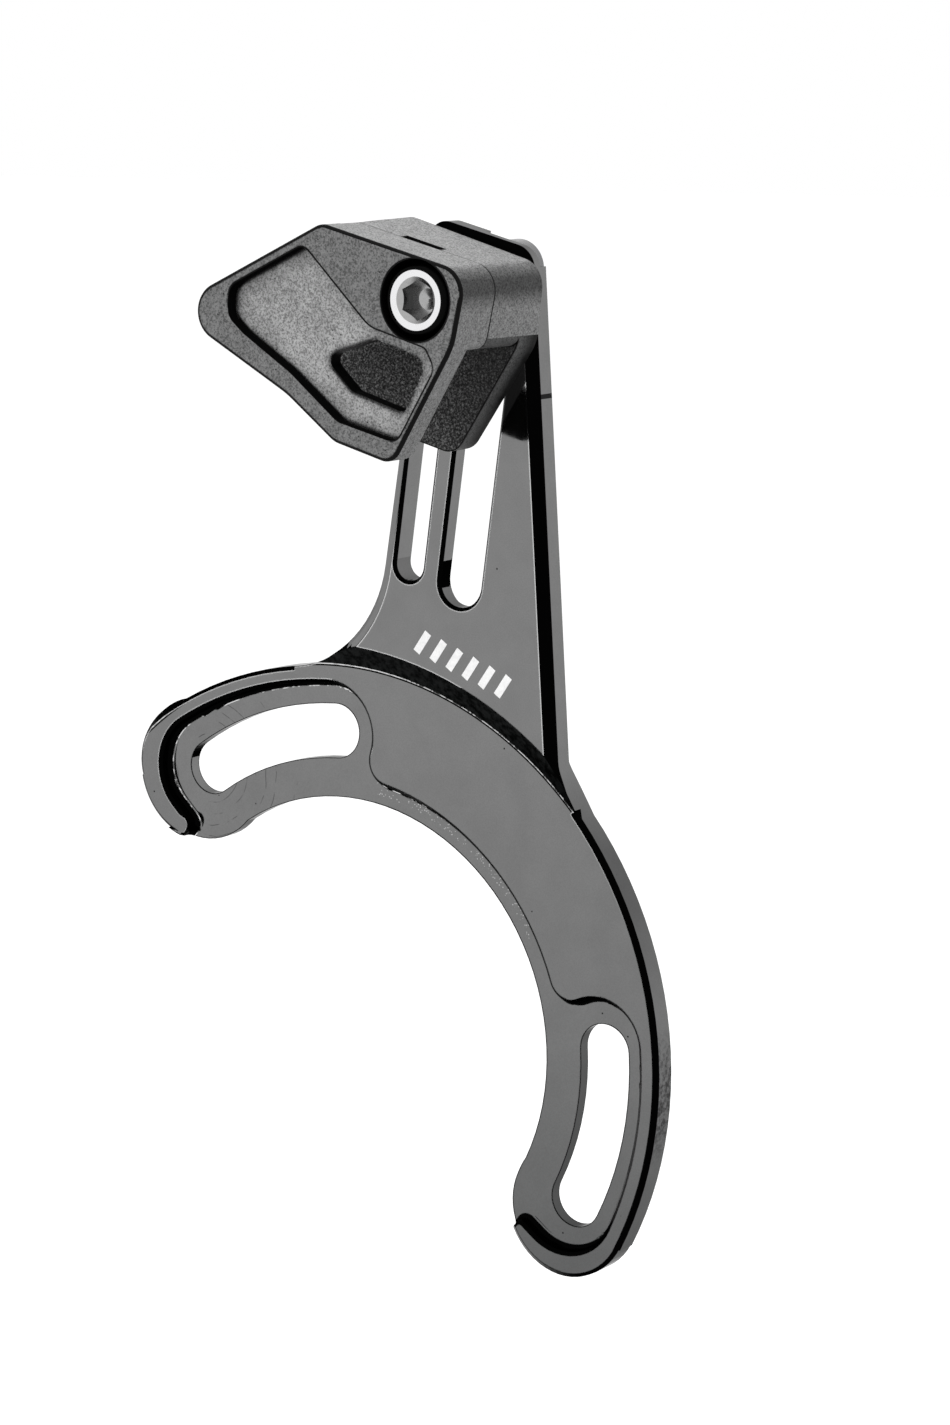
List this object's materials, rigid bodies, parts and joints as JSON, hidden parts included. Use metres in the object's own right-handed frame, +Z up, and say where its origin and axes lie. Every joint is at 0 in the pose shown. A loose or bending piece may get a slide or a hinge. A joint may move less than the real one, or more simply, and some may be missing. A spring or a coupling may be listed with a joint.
{
  "type": "bicycle chain guide",
  "caption": "Upper bicycle chain guide: milled C-shaped backplate with a slotted mast and a two-piece chain cage clamped to it at an adjustable height.",
  "frame": {"origin": "centre of the mounting circle, on the crank axle, in the rear plane of the backplate that lies on the bicycle frame's tabs", "axes": "+Z up along the mast's side of the bicycle, +Y inwards to the frame (the mounting face's normal), -Y outwards towards the chain, +X to the right as the outer side is seen"},
  "size_m": [0.0755, 0.021, 0.1243],
  "materials": {
    "plate": "satin dark anodised, with bright cut edges",
    "cage": "fine grained, moulded, dark grey",
    "bolt": "plated socket head screw, bright rim",
    "nut": "plain plated"
  },
  "bodies": {
    "plate": {"backplate": "plate"},
    "cage": {"outer_guide": "cage", "inner_guide": "cage", "clamp_bolt": "bolt", "slot_nut": "nut"}
  },
  "joints": [
    {"name": "cage_height", "type": "slide", "parent": "plate", "child": "cage", "axis": [0.1392, 0, 0.9903], "range_m": [-0.031, 0.0008]}
  ]
}
